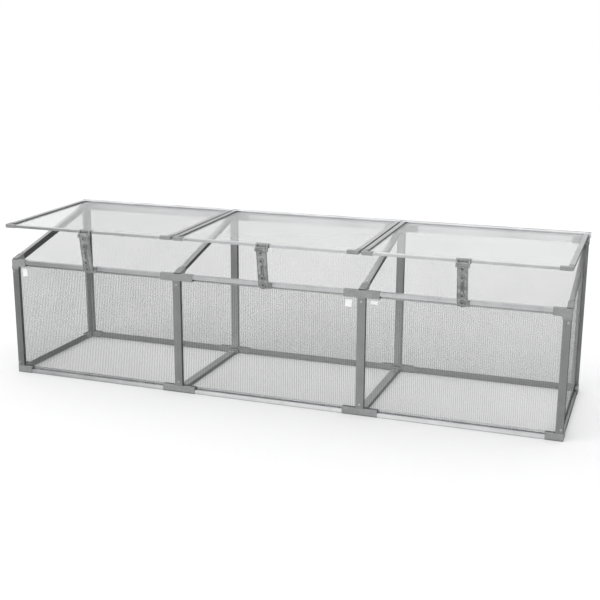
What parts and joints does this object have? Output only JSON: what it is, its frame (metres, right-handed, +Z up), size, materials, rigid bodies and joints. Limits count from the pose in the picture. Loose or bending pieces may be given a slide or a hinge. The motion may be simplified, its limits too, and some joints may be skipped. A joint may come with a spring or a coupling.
{
  "type": "cold frame",
  "caption": "Long low free-standing cold frame of aluminium extrusions and twin-wall glazing, with moulded corner joints and rear-hinged lids held open by prop arms.",
  "frame": {"origin": "on the ground under the middle of the overall box, propped lids and arms included", "axes": "+X along the length to the right seen from the front, -Y towards the front where the lids open, +Z up"},
  "size_m": [1.806, 0.5124, 0.52],
  "materials": {
    "aluminium": "mill-finish extrusion, satin",
    "connector_plastic": "fine moulded texture",
    "prop_plastic": "fine moulded texture",
    "twin_wall": "clear twin-wall polycarbonate, glossy skins",
    "zinc": "zinc-plated screws"
  },
  "bodies": {
    "frame": {"bottom_front_corner_connectors": "connector_plastic", "bottom_front_tee_connectors": "connector_plastic", "bottom_rear_corner_connectors": "connector_plastic", "bottom_rear_tee_connectors": "connector_plastic", "frame_screws": "zinc", "front_bottom_rails": "aluminium", "front_centre_panel": "twin_wall", "front_left_corner_post": "aluminium", "front_left_middle_post": "aluminium", "front_left_panel": "twin_wall", "front_right_corner_post": "aluminium", "front_right_middle_post": "aluminium", "front_right_panel": "twin_wall", "front_top_rails": "aluminium", "left_cross_rafter": "aluminium", "left_cross_sill": "aluminium", "left_end_panel": "twin_wall", "left_end_rafter": "aluminium", "left_end_sill": "aluminium", "prop_catches": "prop_plastic", "rear_bottom_rails": "aluminium", "rear_centre_panel": "twin_wall", "rear_hinge_rails": "aluminium", "rear_left_corner_post": "aluminium", "rear_left_middle_post": "aluminium", "rear_left_panel": "twin_wall", "rear_right_corner_post": "aluminium", "rear_right_middle_post": "aluminium", "rear_right_panel": "twin_wall", "right_cross_rafter": "aluminium", "right_cross_sill": "aluminium", "right_end_panel": "twin_wall", "right_end_rafter": "aluminium", "right_end_sill": "aluminium", "top_front_corner_connectors": "connector_plastic", "top_front_tee_connectors": "connector_plastic", "top_rear_corner_connectors": "connector_plastic", "top_rear_tee_connectors": "connector_plastic"},
    "left_lid": {"left_lid_panel": "twin_wall", "left_lid_front_rail": "aluminium", "left_lid_rear_rail": "aluminium", "left_lid_side_rails": "aluminium", "left_lid_corners": "connector_plastic", "left_prop_bracket": "prop_plastic"},
    "left_prop": {"left_prop_arm": "prop_plastic"},
    "centre_lid": {"centre_lid_panel": "twin_wall", "centre_lid_front_rail": "aluminium", "centre_lid_rear_rail": "aluminium", "centre_lid_side_rails": "aluminium", "centre_lid_corners": "connector_plastic", "centre_prop_bracket": "prop_plastic"},
    "centre_prop": {"centre_prop_arm": "prop_plastic"},
    "right_lid": {"right_lid_panel": "twin_wall", "right_lid_front_rail": "aluminium", "right_lid_rear_rail": "aluminium", "right_lid_side_rails": "aluminium", "right_lid_corners": "connector_plastic", "right_prop_bracket": "prop_plastic"},
    "right_prop": {"right_prop_arm": "prop_plastic"}
  },
  "joints": [
    {"name": "left_lid_hinge", "type": "hinge", "parent": "frame", "child": "left_lid", "pos_m": [-0.6, 0.25016, 0.515], "axis": [1, 0, 0], "range_deg": [-68, 13.3]},
    {"name": "left_prop_pivot", "type": "hinge", "parent": "left_lid", "child": "left_prop", "pos_m": [-0.6, -0.24946, 0.49266], "axis": [1, 0, 0], "range_deg": [-14.7, 74.9]},
    {"name": "centre_lid_hinge", "type": "hinge", "parent": "frame", "child": "centre_lid", "pos_m": [0, 0.25016, 0.515], "axis": [1, 0, 0], "range_deg": [-68, 13.3]},
    {"name": "centre_prop_pivot", "type": "hinge", "parent": "centre_lid", "child": "centre_prop", "pos_m": [0, -0.24946, 0.49266], "axis": [1, 0, 0], "range_deg": [-14.7, 74.9]},
    {"name": "right_lid_hinge", "type": "hinge", "parent": "frame", "child": "right_lid", "pos_m": [0.6, 0.25016, 0.515], "axis": [1, 0, 0], "range_deg": [-68, 13.3]},
    {"name": "right_prop_pivot", "type": "hinge", "parent": "right_lid", "child": "right_prop", "pos_m": [0.6, -0.24946, 0.49266], "axis": [1, 0, 0], "range_deg": [-14.7, 74.9]}
  ],
  "couplings": [
    {"joint": "left_prop_pivot", "follows": "left_lid_hinge", "ratio": -1.1},
    {"joint": "centre_prop_pivot", "follows": "centre_lid_hinge", "ratio": -1.1},
    {"joint": "right_prop_pivot", "follows": "right_lid_hinge", "ratio": -1.1}
  ]
}
